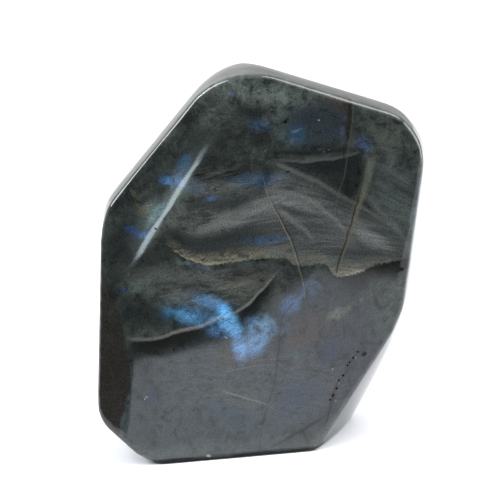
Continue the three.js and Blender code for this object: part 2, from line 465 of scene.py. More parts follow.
FLASHES = (
    glow("sky core", (-9.4, 42.7), (6, 3.5), -60, (0.11, 0.33, 0.59), LAMELLAR, 0.3),
    glow("sky stroke above", (-13.8, 49.2), (7, 2.3), -24, (0.035, 0.13, 0.29), LAMELLAR),
    glow("sky head", (-10.2, 46.8), (3.4, 2.3), -60, (0.07, 0.26, 0.52), LAMELLAR),
    glow("sky stroke down", (-7.4, 35.4), (6.8, 2.6), -84, (0.07, 0.17, 0.35), LAMELLAR),
    glow("wing", (-0.4, 39.8), (6.8, 5.2), 22, (0.065, 0.16, 0.29), core=0.35),
    glow("wing tip", (-3.2, 34.6), (5.8, 4), 30, (0.09, 0.2, 0.38), LAMELLAR, 0.3),
    glow("green of the wing", (2.2, 41.6), (3, 2.2), 20, (0.02, 0.06, 0.05), LAMELLAR),
    glow("feather", (-20.6, 45.8), (10.5, 3.8), -14, (0.03, 0.11, 0.225)),
    glow("feather top", (-24.5, 47.6), (6.5, 1.3), -18, (0.02, 0.1, 0.17), LAMELLAR),
    glow("feather tip", (-21.2, 44.9), (5.6, 1.9), -24, (0.03, 0.1, 0.17), LAMELLAR),
    glow("feather haze", (-17, 48), (14, 6), -14, (0.008, 0.028, 0.052), LAMELLAR),
    glow("pale stroke", (-13.2, 44.2), (3.8, 1.2), 20, (0.12, 0.16, 0.24)),
    glow("blue under the pale stroke", (-12.6, 41.2), (4.6, 2.1), 8, (0.035, 0.12, 0.27)),
    glow("navy under the stroke", (-13, 38.9), (5, 1.2), -4, (0, 0.022, 0.105)),
    glow("right spark", (9.8, 46.4), (4.4, 3.2), 36, (0.035, 0.085, 0.2), LAMELLAR),
    glow("right haze", (15.8, 50.4), (5.6, 3.8), 30, (0.02, 0.04, 0.085)),
    glow("haze right of the wing", (7.4, 38.5), (6, 2.2), 80, (0.012, 0.03, 0.065)),
    glow("teal dot", (9.6, 30.7), (1.8, 1.8), 0, (0, 0.03, 0.04)),
    glow("blue left of the ridge", (-21.4, 87.4), (4.6, 2.4), -18, (0.022, 0.12, 0.31)),
    glow("blue haze on the ridge", (-16.5, 86), (8, 3.4), -24, (0.006, 0.024, 0.055), STREAKY),
    glow("cyan left of the ridge", (-17.2, 91.6), (4.4, 2.8), 60, (0.008, 0.05, 0.105)),
    glow("teal on the ridge", (-27, 78.4), (5, 1.7), 36, (0.065, 0.135, 0.145), LAMELLAR),
    glow("grey teal", (-29.4, 75.2), (3.4, 1.8), 30, (0.06, 0.1, 0.11), LAMELLAR),
    glow("blue below the ridge", (-31.8, 72.4), (2.2, 1.2), 10, (0.03, 0.1, 0.24)),
    glow("deep blue below the ridge", (-35, 73.8), (3.8, 1.8), -30, (0, 0.028, 0.13)),
    glow("blue spark left", (-40.1, 55.9), (0.9, 0.9), 0, (0, 0.03, 0.14), PLAIN),
    glow("slate blue band", (3.6, 85.2), (11, 2.8), -3, (0.003, 0.028, 0.072), STREAKY),
    glow("small blue", (-10.4, 80.8), (3.4, 1), 0, (0.012, 0.05, 0.15)),
    glow("blue in the lens", (5, 66.8), (8.4, 1.5), -2, (0, 0.036, 0.105)),
    glow("pale blue under the gold", (-17, 61.2), (6.2, 1.1), -15, (0.06, 0.075, 0.1)),
    glow("blue below the crown", (6.6, 101.1), (4.6, 2.6), -20, (0.01, 0.03, 0.085)),
    glow("blue in the navy", (16.8, 96.9), (5.4, 4.2), 10, (0.004, 0.028, 0.055)),
    glow("blue right of the vein", (36.8, 92.6), (3.4, 3.2), 80, (0, 0.016, 0.075)),
    glow("violet left of the vein", (31, 96.5), (4.2, 1.3), 90, (0.012, 0.014, 0.04)),
    glow("speck of blue", (-0.7, 110.8), (1, 0.9), 0, (0.01, 0.03, 0.11), PLAIN),
)

BACK_MARKS = (
    glow("broad blue of the back", (8, 66), (17, 7), 28, (0.02, 0.1, 0.26), LAMELLAR, 0.2, 42, 12),
    glow("teal of the back", (-16, 44), (11, 6), -20, (0.01, 0.1, 0.16), LAMELLAR, 0.2, 40, 12),
    glow("sky of the back", (-4, 58), (5, 2.4), 40, (0.04, 0.18, 0.36), LAMELLAR, 0.2, 42, 10),
    glow("deep blue of the back", (22, 88), (8, 4), -30, (0, 0.03, 0.13), STREAKY, 0.2, 38, 12),
    Patch("grey of the back", (-22, 74), (14, 8), 20, (0.085, 0.095, 0.09), 0.6, STREAKY, depth=38, reach=16),
    Patch("moss of the back", (10, 26), (24, 10), 10, (0.07, 0.085, 0.072), 0.6, depth=42, reach=14),
    Patch("dark of the back", (-30, 22), (16, 12), 30, (0.016, 0.02, 0.018), 0.6, depth=40, reach=16),
    glow("blue of the left side", (-46, 50), (7, 3), 80, (0.01, 0.05, 0.16), LAMELLAR, 0.2, 24, 9),
    Patch("grey of the left side", (-40, 30), (12, 8), 80, (0.07, 0.08, 0.074), 0.5, depth=26, reach=14),
    Patch("silk of the back", (-2, 80), (24, 7), 24, (0.15, 0.16, 0.152), 0.75, STREAKY, depth=42, reach=14),
    Patch("pale strokes of the back", (20, 48), (18, 9), 50, (0.125, 0.13, 0.118), 0.7, SWIRLED, depth=44, reach=14),
    Patch("low strokes of the back", (-14, 24), (20, 8), -10, (0.11, 0.116, 0.104), 0.65, SWIRLED, depth=42, reach=14),
    Patch("dark pool of the back", (-8, 50), (12, 5), -28, (0.012, 0.015, 0.015), 0.8, core=0.4, depth=42, reach=13),
    Patch("dark of the crown's back", (14, 100), (16, 6), -12, (0.014, 0.017, 0.017), 0.8, core=0.4, depth=34,
          reach=14),
    Patch("moss by the crown's back", (-16, 94), (12, 6), 44, (0.095, 0.115, 0.1), 0.7, depth=34, reach=14),
    Patch("navy of the back", (30, 72), (9, 12), 10, (0.024, 0.032, 0.052), 0.8, core=0.4, depth=36, reach=14),
    Patch("umber of the back", (34, 36), (8, 5), 60, (0.07, 0.056, 0.044), 0.7, depth=36, reach=14),
    glow("blue of the right side", (46, 62), (8, 3), 80, (0.01, 0.05, 0.15), LAMELLAR, 0.2, 26, 8),
)

LINE_COURSE = (
    (-41.7, 41), (-37.1, 40.3), (-31.2, 40.4), (-25.5, 41.6), (-20.6, 41.9), (-16.8, 42.9),
    (-12, 44.5), (-7.4, 45.6), (-3, 47.6), (1, 51.1), (4.3, 54.3), (7.8, 57.8),
)
LENS_TOP = (
    (-27.4, 68.6), (-25, 70.3), (-19.3, 77.1), (-13.2, 81.4), (-3.4, 82), (4.7, 82.7),
    (8.5, 87), (11.5, 88.2), (20.3, 83.1), (28, 77.8), (38.8, 70.5), (50, 62),
)
LENS_FOOT = (
    (-25.7, 68.5), (-22.1, 64.9), (-17.5, 62.3), (-11, 61.1), (0.6, 61.1), (8.9, 60.3),
    (14.4, 57.9), (20.2, 58.3), (23, 55), (24.8, 53.5), (29.7, 53.9), (34.9, 55.3), (48, 57),
)

BORDERS = (
    Border("gold of the lens foot", LENS_FOOT,
           (0, 0.6, 0.9, 0.9, 0.7, 0.4, 0.35, 0.4, 0.5, 0.9, 0.9, 0.4, 0), 5, (0.2, 0.188, 0.135), texture=SWIRLED,
           ragged=1.3),
    Border("pale rim of the lens foot", LENS_FOOT,
           (0, 0.5, 1, 0.8, 0.4, 0.12, 0.08, 0.1, 0.15, 0.6, 0.6, 0.2, 0), 1.6, (0.33, 0.305, 0.225), ragged=1.3),
    Border("shade under the lens foot", LENS_FOOT,
           (0, 0.2, 0.4, 0.5, 0.4, 0.3, 0.3, 0.3, 0.3, 0.3, 0.5, 0.9, 0.9), -2.6, (0.4, 0.4, 0.4),
           effect=Effect.SHADE, texture=PLAIN, ragged=1.3),
    Border("dark band on the right", ((24, 54), (29.7, 53.9), (34.9, 55.3), (40, 56.2), (50, 57.5)),
           (0, 0.5, 0.9, 1, 1), -6.5, (0.009, 0.008, 0.006), ragged=1.3),
    Border("shade under the line", LINE_COURSE,
           (0, 0.9, 1, 0.9, 0.8, 0.5, 0.2, 0.5, 1, 1, 0.8, 0), -6.2, (0.01, 0.012, 0.011), texture=PLAIN, edge=0.9),
    Border("brown arc", ((-34.6, 86), (-34.1, 83.9), (-32.8, 79.5), (-28.5, 75), (-26, 73)),
           (0, 1, 1, 0.8, 0), 2.8, (0.1, 0.092, 0.062), UPRIGHT),
    Border("upper fold", ((11, 90.2), (18, 89.2), (26.7, 89.1), (33.3, 89.6), (36, 90.4)),
           (0, 0.8, 1, 0.9, 0), -8, (0.015, 0.018, 0.019), texture=PLAIN),
    # Painted shade: the dark line of contact shade where the foot meets the floor, close under the show face.
    Border("dark foot edge", ((-44, 2), (-34, 1.7), (0, 1.5), (15, 1.4), (19, 1.2)),
           (0, 1, 1, 1, 0), -9, (0.002, 0.002, 0.002), texture=PLAIN, edge=0.6, deep=6),
    # Painted shade: a holding hand's shadow and dark reflection along the left edge, fading out a little way into the
    # stone.
    Border("dark left strip",
           ((-49, 4), (-47, 9), (-45.9, 14.9), (-44.7, 17), (-42.7, 22.9), (-41.6, 25), (-40.8, 34), (-41.6, 46),
            (-45, 62), (-47, 70)),
           (0, 0.6, 0.9, 0.9, 0.9, 0.9, 0.9, 0.8, 0.5, 0), -40, (0.024, 0.021, 0.018), UPRIGHT, texture=PLAIN,
           edge=1, deep=9),
)

VEINS = (
    Vein("pale line", LINE_COURSE,
         (0, 0.5, 0.65, 0.8, 0.9, 0.7, 0.5, 0.6, 0.8, 0.7, 0.5, 0), 0.85, (0.2, 0.19, 0.185), soft=1),
    seam("fold above the wedge", ((9, 90.6), (12, 90.1), (18, 89.5), (26.7, 89.3), (33.3, 89.9), (35, 90.4)),
         (0, 0.4, 0.55, 0.6, 0.45, 0), 0.75, (0.105, 0.107, 0.105)),
    seam("dark above the fold", ((9, 92.6), (14, 92.2), (22, 91.6), (29, 91.4), (34.5, 92.2)),
         (0, 0.6, 0.6, 0.5, 0), 1.1, (0.012, 0.013, 0.013)),
    seam("lens rim", ((10, 89.2), (12, 88.2), (21.3, 83.1), (28.8, 77.5), (39.6, 69.7), (44, 66)),
         (0, 0.6, 0.5, 0.4, 0.3, 0), 1.5, (0.15, 0.155, 0.15)),
    seam("inner arc", ((5, 82.4), (8.6, 81.4), (19.8, 76.9), (25.7, 70.5), (29, 66.4)),
         (0, 0.45, 0.5, 0.45, 0), 1.9, (0.215, 0.215, 0.205)),
    seam("left arc", ((-12, 73.5), (-7.7, 75.2), (4.7, 75.6), (15.2, 70), (19.6, 64)),
         (0, 0.4, 0.45, 0.45, 0), 2, (0.2, 0.205, 0.195)),
    seam("right arc", ((34, 79.5), (37.2, 75.1), (41, 70), (44.3, 65.3), (47, 60)),
         (0, 0.3, 0.3, 0.25, 0), 2.8, (0.16, 0.178, 0.166)),
    Vein("brown by the first upright", ((34, 107), (33, 98.2), (31.5, 92.7), (29.2, 84.8), (27, 79.1)),
         (0.9, 0.9, 0.5, 0.3, 0), 1.3, (0.022, 0.017, 0.012), UPRIGHT, soft=1),
    Vein("first upright",
         ((35, 118), (34.9, 105.5), (33.9, 98.2), (32.4, 92.7), (30.1, 84.8), (27.8, 79.1), (25.8, 72), (25.2, 69)),
         (0.6, 0.6, 0.4, 0.4, 0.4, 0.4, 0.4, 0), 0.34, (0.095, 0.09, 0.072), UPRIGHT),
    Vein("second upright, broad", ((38.8, 88.5), (38, 86.4), (35, 78.3), (32.2, 72), (29.6, 65.7), (28, 60)),
         (0, 0.65, 0.6, 0.4, 0.3, 0), 2, (0.12, 0.126, 0.104), UPRIGHT, deep=16),
    Vein("dark by the second upright", ((36.4, 86.4), (34, 78.3), (31.8, 72), (29, 65.7), (25.6, 58.6), (23.8, 53)),
         (0, 0.5, 0.8, 0.6, 0.7, 0), 0.45, (0.02, 0.016, 0.01), UPRIGHT),
    Vein("second upright", ((36.6, 80.5), (35.4, 78.3), (32.6, 72), (29.8, 65.7), (26.3, 58.6), (24.6, 54.5)),
         (0, 0.8, 0.9, 0.9, 0.8, 0), 0.36, (0.135, 0.122, 0.074), UPRIGHT),
    Vein("third upright",
         ((5.6, 86.5), (6, 83.1), (7.5, 77.2), (9.8, 71.1), (11.8, 64.2), (13.5, 57.4), (14.4, 49.6), (14.2, 44)),
         (0, 0.4, 0.8, 0.8, 0.7, 0.5, 0.3, 0), 0.3, (0.2, 0.182, 0.136), UPRIGHT),
    Vein("shadow of the third upright", ((7.3, 80), (8.1, 77.2), (10.4, 71.1), (12.4, 64.2), (14.1, 57.4), (15, 50)),
         (0, 0.4, 0.6, 0.6, 0.4, 0), 0.35, (0.022, 0.018, 0.013), UPRIGHT),
    Vein("fourth upright",
         ((12.4, 49.6), (10.2, 46.5), (7, 42.6), (4.9, 34.4), (3, 25.8), (0, 17.6), (-3.6, 7.4), (-5, 1)),
         (0, 0.5, 0.6, 0.5, 0.45, 0.35, 0.4, 0.3), 0.5, (0.018, 0.013, 0.01), UPRIGHT),
    Vein("crack to the foot",
         ((31.5, 32), (30.2, 29), (26.9, 28.2), (23.3, 23.1), (21.8, 21.8), (19.5, 17), (17, 10.7), (15.5, 7)),
         (0, 0.1, 0.3, 0.4, 0.4, 0.5, 0.6, 0), 0.5, (0.01, 0.008, 0.008), UPRIGHT),
    Vein("crack along the foot", ((21, 15), (16.8, 11.6), (12.9, 9.2), (9.3, 7.2), (5.5, 5.9), (0.6, 3.5), (-2, 3)),
         (0, 0.3, 0.6, 0.8, 0.8, 0.5, 0), 0.8, (0.01, 0.008, 0.008), deep=16),
    seam("stain along the pits",
         ((31.5, 32), (29.5, 29.6), (26.9, 28.2), (23.3, 23.1), (21, 19.5), (19.3, 16), (17, 11)),
         (0, 0.3, 0.4, 0.3, 0.5, 0.5, 0), 1.7, (0.026, 0.02, 0.016), UPRIGHT),
    Vein("crack by the toe", ((8.2, 8.4), (8.7, 7.2), (9.4, 5.4), (10.1, 3.3), (10.6, 2)),
         (0, 0.6, 0.7, 0.6, 0), 0.7, (0.01, 0.008, 0.008), UPRIGHT, deep=16),
    seam("pale scratch", ((-14, 22), (-12.2, 21.2), (-7.2, 19.2), (-2.3, 16.8), (2, 14)),
         (0, 0.9, 0.9, 0.6, 0), 0.45, (0.15, 0.16, 0.16)),
    seam("pale seam", ((-12.8, 27.4), (-10.9, 27.7), (-5, 28.4), (0, 28.6), (8, 28.4)),
         (0, 0.7, 0.7, 0.5, 0), 0.45, (0.12, 0.12, 0.11)),
    seam("low seam", ((-14, 33), (-12.8, 32.6), (-6, 30.6), (-1.4, 30), (6, 30.4)),
         (0, 0.6, 0.6, 0.5, 0), 0.45, (0.11, 0.105, 0.095)),
)

PITS = (
    Pit((30.2, 29.1), (0.9, 0.52), 35), Pit((28.4, 30), (0.36, 0.28)), Pit((26.9, 28.3), (0.38, 0.28), 40),
    Pit((25.6, 27), (0.3, 0.26)), Pit((24.9, 26.2), (0.36, 0.24), 60), Pit((23.3, 23.1), (0.38, 0.36)),
    Pit((21.8, 21.8), (0.3, 0.27)), Pit((20.9, 19.3), (0.44, 0.3), 50), Pit((19.6, 17.2), (0.66, 0.4), 60),
    Pit((18.6, 15.9), (0.33, 0.27)), Pit((-28.1, 73.6), (0.5, 0.26), -30),
)

RIDGE = Vein("worn ridge", ((-8, 97.5), (-10, 95), (-33.7, 64.9), (-35.5, 62.5)), (0, 1, 1, 0), 4,
             (0, 0, 0), UPRIGHT, lean=0)

SPECKS = (
    speck("bright speck", (23.8, 101), (0.28, 0.24), 0, (0.6, 0.62, 0.58), 1, core=0.6),
    speck("crown speck one", (-6.5, 107.2), (0.5, 0.4), 30, (0.24, 0.26, 0.24), 0.8, CLOUDY),
    speck("crown speck two", (-5.6, 104.7), (0.4, 0.5), 0, (0.2, 0.22, 0.2), 0.8, CLOUDY),
    speck("crown speck three", (-7.8, 105.9), (0.9, 0.4), -40, (0.16, 0.18, 0.16), 0.8, CLOUDY, 0.4),
    speck("crown speck four", (7.2, 93.5), (0.7, 0.4), 20, (0.16, 0.17, 0.15), 0.8, CLOUDY, 0.4),
    speck("crown speck five", (8.5, 91.9), (0.5, 0.6), 0, (0.14, 0.15, 0.13), 0.8, CLOUDY, 0.4),
    speck("lens speck one", (-15.1, 72.5), (0.9, 0.4), -30, (0.2, 0.21, 0.19), 0.8, CLOUDY, 0.4),
    speck("lens speck two", (-13.5, 73.6), (0.5, 0.4), 10, (0.22, 0.23, 0.2), 0.8, CLOUDY, 0.4),
    speck("dark speck one", (14.3, 101.4), (0.5, 0.5), 0, (0.004, 0.004, 0.004)),
    speck("dark speck two", (13.3, 86.6), (0.6, 0.4), 40, (0.004, 0.004, 0.004)),
    Patch("pale blue chip", (17, 98.5), (1.9, 0.5), 12, (0.16, 0.22, 0.34), 0.9, reach=2),
    Patch("chip by the fold one", (23.6, 92.1), (0.5, 0.3), 20, (0.17, 0.17, 0.16), 0.9, core=0.5, reach=2),
    Patch("chip by the fold two", (24.9, 91.5), (0.6, 0.3), -10, (0.15, 0.15, 0.14), 0.9, core=0.5, reach=2),
    Patch("chip by the fold three", (26.2, 91.9), (0.4, 0.3), 0, (0.15, 0.15, 0.14), 0.9, core=0.5, reach=2),
    Patch("brown chips on the shoulder", (46.9, 98), (2.6, 0.8), -28, (0.012, 0.008, 0.006), reach=3),
    speck("foot chip", (-20.5, 1.7), (0.9, 0.5), 0, (0.6, 0.5, 0.47), 0.95),
    speck("glint by the pits one", (27.6, 28.2), (0.36, 0.22), 40, (0.34, 0.34, 0.3), 0.8),
    speck("glint by the pits two", (21.4, 20.6), (0.4, 0.22), 60, (0.34, 0.32, 0.26), 0.8),
    speck("glint by the pits three", (20, 15.4), (0.44, 0.24), -30, (0.3, 0.28, 0.22), 0.8),
    speck("speck by the pits", (20.1, 25.4), (0.42, 0.3), 20, (0.42, 0.4, 0.36)),
    speck("left speck one", (-38.2, 21.5), (0.34, 0.26), 0, (0.55, 0.54, 0.4)),
    speck("left speck two", (-37.3, 21.9), (0.34, 0.3), 0, (0.55, 0.54, 0.4)),
    Patch("yellow speck", (43.6, 50.2), (1.5, 0.6), 15, (0.26, 0.24, 0.09), 0.9, core=0.4, reach=4),
    speck("blue chip", (-11, 38.3), (0.6, 0.3), -45, (0.45, 0.5, 0.58)),
)


@dataclass(frozen=True)
class Labradorite:
    """Polished dark labradorite: a green-grey body, a silky lens, veins and blue flashes.

    Lengths are in millimetres. The lens fades in over the ranges of its edges and depth, and its
    foot is torn. The pale and dark specks are cells picked by their random colour. The worn ridge
    is a little duller than the rest, and the polish ends at the front edge of the foot.
    """

    name: str = "labradorite"
    dark: Colour = (0.015, 0.019, 0.018)
    light: Colour = (0.072, 0.086, 0.078)
    silk_dark: Colour = (0.024, 0.029, 0.029)
    silk_light: Colour = (0.110, 0.118, 0.114)
    silk_strength: float = 0.92
    lens_foot_edge: Point = (0.0, 1.6)
    lens_foot_tear: float = 2.6
    lens_top_edge: Point = (-1.5, 4.5)
    lens_depth: Point = (16.0, 4.0)
    dust_gain: float = 2.2
    speck_cells: float = 0.5
    speck_edge: Point = (0.11, 0.05)
    pale_specks: Point = (0.965, 0.985)
    pale_speck: Colour = (0.26, 0.27, 0.24)
    dark_specks: Point = (0.93, 0.96)
    dark_speck: Colour = (0.006, 0.007, 0.007)
    pit_halo: float = 1.2
    pit_colour: Colour = (0.008, 0.007, 0.006)
    exposure: float = 0.48
    roughness: float = 0.06
    worn: float = 0.09
    foot_height: Point = (2.4, 1.5)
    foot_depth: Point = (4.5, 3.0)
    ior: float = 1.56

    def make(self) -> bpy.types.Material:
        """Wires the material.

        Returns:
            The material.
        """
        material = bpy.data.materials.new(self.name)
        material.use_nodes = True
        paint = Paint(material.node_tree, self)
        self.coat(paint)
        inputs = {"Base Color": paint.colour, "Roughness": self.gloss(paint), "IOR": self.ior}
        paint.sketch.close(paint.sketch.node("BsdfPrincipled", inputs))
        return material

    def coat(self, paint: "Paint") -> None:
        """Lays the stone's colours one over another.

        Args:
            paint: The brush that knows the stone's coordinates.
        """
        for patch in GROUND:
            paint.patch(patch)
        paint.lens()
        for patch in SHEEN:
            paint.patch(patch)
        for border in BORDERS:
            paint.border(border)
        for vein in VEINS:
            paint.vein(vein)
        for patch in (*FLASHES, *BACK_MARKS):
            paint.patch(patch)
        paint.dust()
        for patch in (*SPECKS, *(self.darkening(pit) for pit in PITS)):
            paint.patch(patch)
        paint.lay(1.0, (self.exposure,) * 3, Effect.SHADE)

    def darkening(self, pit: Pit) -> Patch:
        """Makes the dark patch laid over a pit.

        Args:
            pit: The pit.

        Returns:
            The dark patch, a little wider than the pit.
        """
        length, width = pit.size
        size = (length * self.pit_halo, width * self.pit_halo)
        return speck("pit", pit.place, size, pit.turn, self.pit_colour, core=0.6, crisp=True)

    def gloss(self, paint: "Paint") -> Socket:
        """Makes the roughness of the polish.

        Args:
            paint: The brush that knows the stone's coordinates.

        Returns:
            The roughness.
        """
        sketch = paint.sketch
        wear = sketch.product(paint.line(RIDGE), paint.textures[CLOUDY])
        polish = sketch.ramp(wear, 0.0, 1.0, self.roughness, self.worn)
        foot = sketch.product(
            sketch.ramp(paint.height, *self.foot_height), sketch.ramp(paint.depth, *self.foot_depth)
        )
        return sketch.math("MAXIMUM", polish, foot)


class Paint:
    """Lays the stone's marks one on another, in coordinates of the show face in millimetres.

    BROAD_BEND and FINE_BEND are how far the patches are bent along with the stone, and STEADY_BEND
    takes the place of the fine bend for the veins and borders. A patch ends at EDGE times its size;
    colour starts to fade at DEEP_FADE of the depth and REACH_FADE of the reach it gets to.
    """

    BROAD_BEND = 2.2
    FINE_BEND = 1.2
    STEADY_BEND = 0.4
    EDGE = 1.15
    DEEP_FADE = 0.4
    REACH_FADE = 0.25

    def __init__(self, tree: bpy.types.NodeTree, stone: Labradorite) -> None:
        """Sets up the coordinates and textures that the marks share, and the body colour.

        Args:
            tree: The material's node tree.
            stone: The finish.
        """
        self.stone = stone
        self.sketch = sketch = Sketch(tree)
        place = sketch.vector("SCALE", sketch.node("TexCoord").outputs["Object"], scale=1 / MM)
        x, y, self.height = sketch.node("SeparateXYZ", {0: place}).outputs
        depth = sketch.math("SUBTRACT", y, FACE_FOOT)
        depth = sketch.math("MULTIPLY_ADD", self.height, -math.tan(math.radians(FACE_LEAN)), depth)
        self.plain = sketch.join(x, depth, self.height)
        self.tear = sketch.math("SUBTRACT", sketch.noise(self.plain, 0.9, 4.0, 0.75).outputs["Fac"], 0.5)
        self.textures = {
            CLOUDY: sketch.broken(self.plain, CLOUDS),
            STREAKY: self.streaky(x, depth),
            LAMELLAR: self.lamellar(),
            SWIRLED: sketch.broken(self.plain, SWIRLS),
        }
        broad, fine = self.stir(0.07, 2.0, 0.6), self.stir(0.5, 3.0, 0.65)
        bent = sketch.vector("MULTIPLY_ADD", broad, (self.BROAD_BEND,) * 3, self.plain)
        self.bent = sketch.vector("MULTIPLY_ADD", fine, (self.FINE_BEND,) * 3, bent)
        steady = sketch.vector("MULTIPLY_ADD", fine, (self.STEADY_BEND,) * 3, bent)
        self.x, self.depth, self.z = sketch.node("SeparateXYZ", {0: steady}).outputs
        body = sketch.product(sketch.broken(self.plain, CLOUD_BANKS), self.textures[CLOUDY])
        self.colour = sketch.blend(body, stone.dark, stone.light)

    def stir(self, scale: float, detail: float, rough: float) -> Socket:
        """Makes a small push in a random direction."""
        push = self.sketch.noise(self.plain, scale, detail, rough).outputs["Color"]
        return self.sketch.vector("SUBTRACT", push, (0.5, 0.5, 0.5))

    def streaky(self, x: Socket, depth: Socket) -> Socket:
        """Makes fine streaks that fan out over the face and droop to the right.

        Args:
            x: The place along X.
            depth: The depth behind the show face.

        Returns:
            The streaks' strength.
        """
        sketch = self.sketch
        droop = sketch.product(sketch.curve(x, DROOP), sketch.ramp(self.height, *DROOP_RISE))
        place = sketch.join(x, depth, sketch.math("SUBTRACT", self.height, droop))
        place = sketch.vector("MULTIPLY", place, STREAK_SQUASH)
        return sketch.product(sketch.broken(place, STREAKS), sketch.broken(place, STREAK_BANKS))

    def lamellar(self) -> Socket:
        """Makes the fine slanting grain of a flash."""
        inputs = {"Vector": self.plain, "Rotation": (0, math.radians(LAMELLA_SLANT), 0), "Scale": LAMELLA_STRETCH}
        return self.sketch.broken(self.sketch.node("Mapping", inputs, vector_type="TEXTURE").outputs[0], LAMELLAE)

    def lay(self, amount: Value, colour: Value, effect: Effect = Effect.STAIN, name: str = "") -> None:
        """Lays a colour on the colour so far."""
        self.colour = self.sketch.blend(amount, self.colour, colour, effect, name)

    def laid(self, amount: Socket, texture: Texture, strength: float) -> Socket:
        """Breaks up a mark's strength.

        Args:
            amount: The mark's strength from its shape.
            texture: What breaks it up.
            strength: Its overall strength.

        Returns:
            The mark's strength.
        """
        if texture is not PLAIN:
            amount = self.sketch.product(amount, self.textures[texture])
        return self.sketch.math("MULTIPLY", amount, strength, clamp=True)

    def patch(self, patch: Patch) -> None:
        """Lays a patch.

        Args:
            patch: The patch.
        """
        sketch = self.sketch
        cos, sin = math.cos(math.radians(patch.turn)), math.sin(math.radians(patch.turn))
        length, width = patch.size
        ground = self.plain if patch.crisp else self.bent
        away = sketch.vector("SUBTRACT", ground, (patch.place[0], patch.depth, patch.place[1]))
        along = sketch.vector("DOT_PRODUCT", away, (cos / length, 0, sin / length))
        deep = sketch.vector("DOT_PRODUCT", away, (0, 1 / patch.reach, 0))
        across = sketch.vector("DOT_PRODUCT", away, (-sin / width, 0, cos / width))
        amount = sketch.ramp(sketch.vector("LENGTH", sketch.join(along, deep, across)), self.EDGE, patch.core)
        self.lay(self.laid(amount, patch.texture, patch.strength), patch.colour, patch.effect, patch.name)

    def offset(self, mark: Vein | Border) -> tuple[Socket, Socket]:
        """Measures how far a place lies from a mark's course.

        Args:
            mark: The vein or border.

        Returns:
            The signed distance above it or to its right, and the mark's strength there.
        """
        sketch = self.sketch
        if mark.lie is LEVEL:
            along, across = self.x, self.z
            course = mark.course
        else:
            along, across = self.z, self.x
            course = tuple((z, x) for x, z in mark.course)
        across = sketch.math("MULTIPLY_ADD", self.depth, mark.lean, across)
        away = sketch.math("SUBTRACT", across, sketch.curve(along, course))
        strengths = [(start, strength) for (start, _), strength in zip(course, mark.strengths)]
        return away, sketch.curve(along, strengths)

    def inward(self, deep: float) -> Socket:
        """Fades a mark out towards the depth at which it ends."""
        return self.sketch.ramp(self.depth, deep, deep * self.DEEP_FADE)

    def vein(self, vein: Vein) -> None:
        """Lays a vein."""
        self.lay(self.line(vein), vein.colour, name=vein.name)

    def line(self, vein: Vein) -> Socket:
        """Measures how strong a vein is.

        Args:
            vein: The vein.

        Returns:
            Its strength, fading to nothing away from its course.
        """
        sketch = self.sketch
        away, strength = self.offset(vein)
        near = sketch.ramp(sketch.math("ABSOLUTE", away), vein.width, vein.width * (1 - vein.soft))
        if vein.deep:
            near = sketch.product(near, self.inward(vein.deep))
        return sketch.product(near, strength)

    def border(self, border: Border) -> None:
        """Lays a border.

        Args:
            border: The border.
        """
        sketch = self.sketch
        away, strength = self.offset(border)
        if border.ragged:  # the tear is a half at most, either way
            away = sketch.math("MULTIPLY_ADD", self.tear, border.ragged * 2, away)
        away = sketch.product(away, math.copysign(1.0, border.reach))
        reach = abs(border.reach)
        rise = sketch.ramp(away, 0.0, border.edge)
        fall = sketch.ramp(away, reach, reach * self.REACH_FADE)
        amount = sketch.product(rise, fall, self.inward(border.deep), strength)
        self.lay(self.laid(amount, border.texture, 1.0), border.colour, border.effect, border.name)

    def lens(self) -> None:
        """Lays the silky lens across the middle of the face."""
        sketch, stone = self.sketch, self.stone
        over = sketch.math("SUBTRACT", self.z, sketch.curve(self.x, LENS_FOOT))
        under = sketch.math("SUBTRACT", sketch.curve(self.x, LENS_TOP), self.z)
        over = sketch.math("MULTIPLY_ADD", self.tear, stone.lens_foot_tear, over)
        inside = sketch.product(
            sketch.ramp(over, *stone.lens_foot_edge), sketch.ramp(under, *stone.lens_top_edge),
            sketch.ramp(self.depth, *stone.lens_depth),
        )
        silk = sketch.math("MULTIPLY", self.textures[STREAKY], sketch.curve(self.x, LENS_LIGHT), clamp=True)
        silk = sketch.blend(silk, stone.silk_dark, stone.silk_light)
        self.lay(sketch.product(inside, stone.silk_strength), silk)

    def dust(self) -> None:
        """Scatters fine light and dark specks."""
        sketch, stone = self.sketch, self.stone
        self.lay(sketch.broken(self.plain, DUST), (stone.dust_gain,) * 3, Effect.SHADE)
        cells = sketch.node("TexVoronoi", {"Vector": self.plain, "Scale": stone.speck_cells}, feature="F1")
        near = sketch.ramp(cells.outputs["Distance"], *stone.speck_edge)
        chosen = sketch.node("SeparateColor", {0: cells.outputs["Color"]})
        pale = sketch.product(near, sketch.ramp(chosen.outputs["Red"], *stone.pale_specks))
        dark = sketch.product(near, sketch.ramp(chosen.outputs["Green"], *stone.dark_specks))
        self.lay(pale, stone.pale_speck)
        self.lay(dark, stone.dark_speck)


def choose(*pieces: bpy.types.Object) -> None:
    """Selects these pieces and no others, and makes the last one active.

    Args:
        pieces: The pieces.
    """
    bpy.ops.object.select_all(action="DESELECT")
    for piece in pieces:
        piece.select_set(True)
        bpy.context.view_layer.objects.active = piece


def mode(name: str) -> None:
    """Changes the mode of the active piece."""
    bpy.ops.object.mode_set(mode=name)


